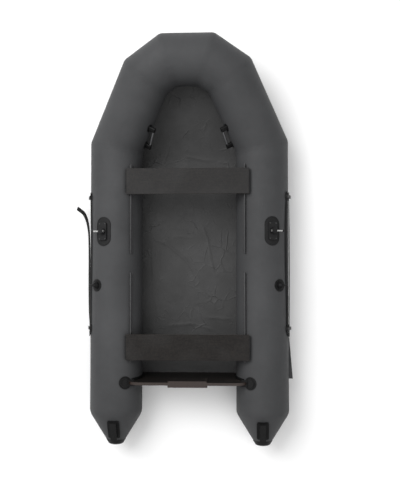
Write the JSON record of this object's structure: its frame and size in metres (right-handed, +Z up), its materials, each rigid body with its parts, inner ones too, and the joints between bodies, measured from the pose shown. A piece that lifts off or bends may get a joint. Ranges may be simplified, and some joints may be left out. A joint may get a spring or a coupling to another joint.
{
  "type": "inflatable dinghy",
  "caption": "Inflatable motor dinghy with raised bow, tapered stern cones, plywood transom, sliding bench seats, swivelling rowlocks and side grab straps.",
  "frame": {"origin": "middle of the hull's box at ground level, under the tubes", "axes": "+X starboard, +Y towards the bow, +Z up"},
  "size_m": [1.5602, 2.9, 0.52],
  "materials": {
    "tube_fabric": "satin",
    "floor_fabric": "satin",
    "moulded_rubber": "matte",
    "rail_vinyl": "satin",
    "transom_ply": "satin film face",
    "pad_ply": "satin",
    "bench_ply": "satin film face",
    "black_plastic": "satin",
    "stem_plastic": "gloss",
    "stainless": "polished",
    "grip_tube": "satin",
    "webbing": "woven"
  },
  "bodies": {
    "hull": {"port_side_tube": "tube_fabric", "starboard_side_tube": "tube_fabric", "port_bow_tube": "tube_fabric", "starboard_bow_tube": "tube_fabric", "port_bow_corner_tube": "tube_fabric", "starboard_bow_corner_tube": "tube_fabric", "bow_front_tube": "tube_fabric", "bow_bulkhead": "tube_fabric", "port_stern_cone": "tube_fabric", "starboard_stern_cone": "tube_fabric", "port_cone_tip": "moulded_rubber", "starboard_cone_tip": "moulded_rubber", "floor_panel": "floor_fabric", "bow_floor_panel": "floor_fabric", "port_seat_rails": "rail_vinyl", "starboard_seat_rails": "rail_vinyl", "transom_board": "transom_ply", "motor_pad_outer": "pad_ply", "motor_pad_inner": "black_plastic", "motor_pad_bolts": "stainless", "port_transom_holder": "moulded_rubber", "starboard_transom_holder": "moulded_rubber", "port_rowlock_base": "moulded_rubber", "starboard_rowlock_base": "moulded_rubber", "port_oar_holder": "moulded_rubber", "starboard_oar_holder": "moulded_rubber", "port_bow_handle_feet": "moulded_rubber", "starboard_bow_handle_feet": "moulded_rubber", "port_bow_handle_grip": "grip_tube", "starboard_bow_handle_grip": "grip_tube", "port_stern_handle": "moulded_rubber", "starboard_stern_handle": "moulded_rubber", "port_valve_body": "black_plastic", "starboard_valve_body": "black_plastic", "port_fore_strap_anchor": "moulded_rubber", "port_aft_strap_anchor": "moulded_rubber", "starboard_fore_strap_anchor": "moulded_rubber", "starboard_aft_strap_anchor": "moulded_rubber", "port_grab_strap": "webbing", "starboard_grab_strap": "webbing", "starboard_side_flap": "tube_fabric", "tow_ring_patch": "moulded_rubber"},
    "front_bench": {"front_bench_board": "bench_ply", "front_bench_sliders": "black_plastic", "front_bench_screws": "stainless"},
    "rear_bench": {"rear_bench_board": "bench_ply", "rear_bench_sliders": "black_plastic", "rear_bench_screws": "stainless"},
    "tow_ring": {"tow_ring": "stainless"},
    "port_rowlock": {"port_rowlock_swivel": "black_plastic", "port_rowlock_pin": "stainless"},
    "port_pin_knob": {"port_rowlock_knob": "black_plastic"},
    "port_valve_plunger": {"port_valve_stem": "stem_plastic"},
    "port_valve_cover": {"port_valve_cap": "black_plastic"},
    "starboard_rowlock": {"starboard_rowlock_swivel": "black_plastic", "starboard_rowlock_pin": "stainless"},
    "starboard_pin_knob": {"starboard_rowlock_knob": "black_plastic"},
    "starboard_valve_plunger": {"starboard_valve_stem": "stem_plastic"},
    "starboard_valve_cover": {"starboard_valve_cap": "black_plastic"}
  },
  "joints": [
    {"name": "front_bench_slide", "type": "slide", "parent": "hull", "child": "front_bench", "axis": [0, 1, 0], "range_m": [-0.425, 0.045]},
    {"name": "rear_bench_slide", "type": "slide", "parent": "hull", "child": "rear_bench", "axis": [0, 1, 0], "range_m": [-0.03, 0.44]},
    {"name": "port_rowlock_turn", "type": "hinge", "parent": "hull", "child": "port_rowlock", "pos_m": [-0.59305, 0.054, 0.3658], "axis": [-0.3746, 0, 0.9272], "continuous": true},
    {"name": "port_knob_turn", "type": "hinge", "parent": "port_rowlock", "child": "port_pin_knob", "pos_m": [-0.66193, 0.054, 0.36278], "axis": [-0.9272, 0, -0.3746], "continuous": true},
    {"name": "port_valve_press", "type": "slide", "parent": "hull", "child": "port_valve_plunger", "axis": [-0.9511, 0, -0.309], "range_m": [0, 0.006], "stiffness_N_per_m": 400, "springref_m": -0.004},
    {"name": "port_valve_cover_pull", "type": "slide", "parent": "hull", "child": "port_valve_cover", "axis": [0.9511, 0, 0.309], "range_m": [0, 0.035]},
    {"name": "starboard_rowlock_turn", "type": "hinge", "parent": "hull", "child": "starboard_rowlock", "pos_m": [0.59305, 0.054, 0.3658], "axis": [0.3746, 0, 0.9272], "continuous": true},
    {"name": "starboard_knob_turn", "type": "hinge", "parent": "starboard_rowlock", "child": "starboard_pin_knob", "pos_m": [0.66193, 0.054, 0.36278], "axis": [0.9272, 0, -0.3746], "continuous": true},
    {"name": "starboard_valve_press", "type": "slide", "parent": "hull", "child": "starboard_valve_plunger", "axis": [0.9511, 0, -0.309], "range_m": [0, 0.006], "stiffness_N_per_m": 400, "springref_m": -0.004},
    {"name": "starboard_valve_cover_pull", "type": "slide", "parent": "hull", "child": "starboard_valve_cover", "axis": [-0.9511, 0, 0.309], "range_m": [0, 0.035]},
    {"name": "tow_ring_swing", "type": "hinge", "parent": "hull", "child": "tow_ring", "pos_m": [0, 1.42474, 0.22315], "axis": [1, 0, 0], "range_deg": [-30, 130]}
  ]
}
